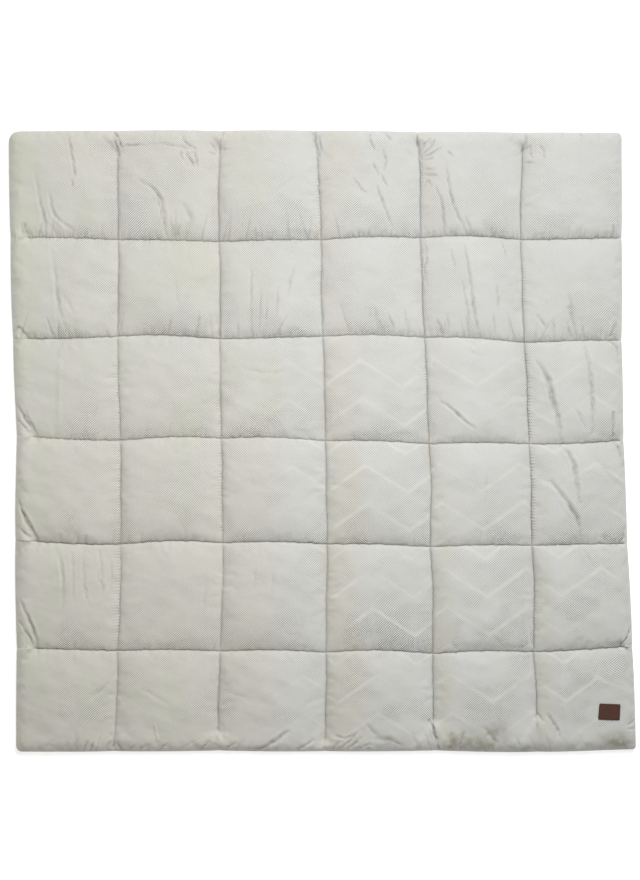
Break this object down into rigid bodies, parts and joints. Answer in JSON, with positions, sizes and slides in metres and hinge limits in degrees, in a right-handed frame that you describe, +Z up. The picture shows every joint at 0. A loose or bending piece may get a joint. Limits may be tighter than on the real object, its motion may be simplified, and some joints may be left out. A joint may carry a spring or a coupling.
{
  "type": "comforter",
  "caption": "Square quilted comforter with crowned squares between sewn channels, a soft rolled edge and a small bare leather patch, lying flat on its back.",
  "frame": {"origin": "on the surface, under the middle of the comforter's box", "axes": "+Z up out of the surface, +Y towards the head edge, +X to the right when the head edge is away from you"},
  "size_m": [1.0146, 1.0068, 0.0314],
  "materials": {
    "quilt_cloth": "matt woven herringbone cotton, pale warm grey, with a paler zigzag woven in",
    "patch_leather": "dark brown leather, fine grain, darker cut edge"
  },
  "bodies": {
    "root": {"comforter": "quilt_cloth", "leather_patch": "patch_leather"}
  },
  "joints": []
}
